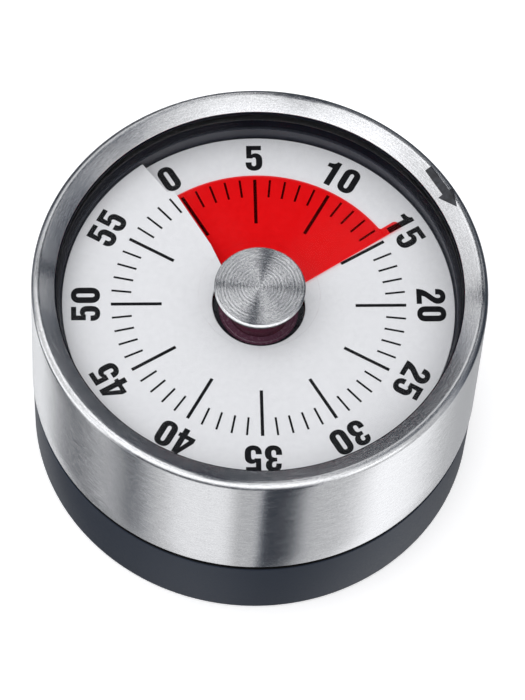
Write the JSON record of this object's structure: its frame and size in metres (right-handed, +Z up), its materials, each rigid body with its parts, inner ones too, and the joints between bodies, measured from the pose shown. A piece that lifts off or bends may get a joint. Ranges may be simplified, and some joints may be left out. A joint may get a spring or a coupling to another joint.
{
  "type": "countdown timer",
  "caption": "Round clockwork countdown timer: a steel grip ring winds a red film over a helical dial with minute marks and numerals under a clear window.",
  "frame": {"origin": "middle of the base, on the surface that the rubber foot ring stands on", "axes": "+Z up along the main arbor, +Y towards the 0 mark of the dial, minutes run clockwise seen from above"},
  "size_m": [0.078, 0.078, 0.0468],
  "materials": {
    "steel_shell": "brushed around the ring, satin",
    "black_liner": "satin black",
    "seal_rubber": "matt",
    "clear_window": "clear, polished",
    "spun_knob": "spun, fine rings",
    "dark_collar": "satin",
    "ground_steel": "ground",
    "brass": "brushed",
    "spring_steel": "blued",
    "red_film": "thin, slightly translucent",
    "red_hub": "satin",
    "base_plastic": "satin dark slate",
    "cover_plastic": "fine grain",
    "carrier_plastic": "satin dark grey",
    "dial_white": "satin white",
    "foot_rubber": "matt",
    "magnet_grey": "sintered grey",
    "plated_steel": "zinc plated",
    "plate_steel": "rolled sheet",
    "bell_nickel": "nickel plated"
  },
  "bodies": {
    "base": {"base_housing": "base_plastic", "glide_ring": "black_liner", "base_cover": "cover_plastic", "cover_screws": "plated_steel", "foot_ring": "foot_rubber", "magnet": "magnet_grey", "magnet_cup": "plated_steel", "dial_carrier": "carrier_plastic", "dial_plate": "dial_white", "carrier_screws": "plated_steel", "front_plate": "plate_steel", "back_plate": "plate_steel", "pillars": "ground_steel", "pillar_nuts": "plated_steel", "mount_screws": "plated_steel", "spring_barrel": "plate_steel", "mainspring": "spring_steel", "bell": "bell_nickel", "bell_post": "ground_steel", "bell_nut": "plated_steel", "hammer_spring": "spring_steel"},
    "grip": {"steel_ring": "steel_shell", "bezel_liner": "black_liner", "lens_gasket": "seal_rubber", "lens": "clear_window", "knob_cap": "spun_knob", "knob_collar": "dark_collar", "main_arbor": "ground_steel", "spring_collet": "brass", "main_wheel": "brass", "clutch_spring": "spring_steel", "release_cam": "brass"},
    "film": {"red_film": "red_film", "film_hub": "red_hub"},
    "second": {"second_arbor": "ground_steel", "second_pinion": "ground_steel", "second_wheel": "brass"},
    "third": {"third_arbor": "ground_steel", "third_pinion": "ground_steel", "third_wheel": "brass"},
    "escape": {"escape_arbor": "ground_steel", "escape_pinion": "ground_steel", "escape_wheel": "brass"},
    "balance": {"balance_staff": "ground_steel", "balance_wheel": "plated_steel", "pallet_anchor": "ground_steel"},
    "hammer": {"hammer_staff": "ground_steel", "hammer_arm": "plated_steel", "hammer_head": "brass", "hammer_tail": "plated_steel"}
  },
  "joints": [
    {"name": "ring_turn", "type": "hinge", "parent": "base", "child": "grip", "pos_m": [0, 0, 0.03], "axis": [0, 0, 1], "range_deg": [-270, 90]},
    {"name": "film_climb", "type": "slide", "parent": "grip", "child": "film", "axis": [0, 0, 1], "range_m": [-0.00055, 0.00165]},
    {"name": "second_spin", "type": "hinge", "parent": "base", "child": "second", "pos_m": [-0.01606, 0, 0.02], "axis": [0, 0, 1], "range_deg": [-812, 2432]},
    {"name": "third_spin", "type": "hinge", "parent": "base", "child": "third", "pos_m": [-0.01204, -0.012, 0.02], "axis": [0, 0, 1], "range_deg": [-19450, 6490]},
    {"name": "escape_spin", "type": "hinge", "parent": "base", "child": "escape", "pos_m": [-0.00294, -0.01674, 0.02], "axis": [0, 0, 1], "range_deg": [-48700, 145900]},
    {"name": "balance_swing", "type": "hinge", "parent": "base", "child": "balance", "pos_m": [0.00455, -0.01638, 0.02], "axis": [0, 0, 1], "range_deg": [-6, 6]},
    {"name": "hammer_swing", "type": "hinge", "parent": "base", "child": "hammer", "pos_m": [0.00855, 0.02349, 0.02], "axis": [0, 0, 1], "range_deg": [-12, 3], "stiffness_Nm_per_rad": 0.0005}
  ],
  "couplings": [
    {"joint": "film_climb", "follows": "ring_turn", "m_per_rad": -0.000339},
    {"joint": "second_spin", "follows": "ring_turn", "ratio": -9},
    {"joint": "third_spin", "follows": "ring_turn", "ratio": 72},
    {"joint": "escape_spin", "follows": "ring_turn", "ratio": -540}
  ]
}
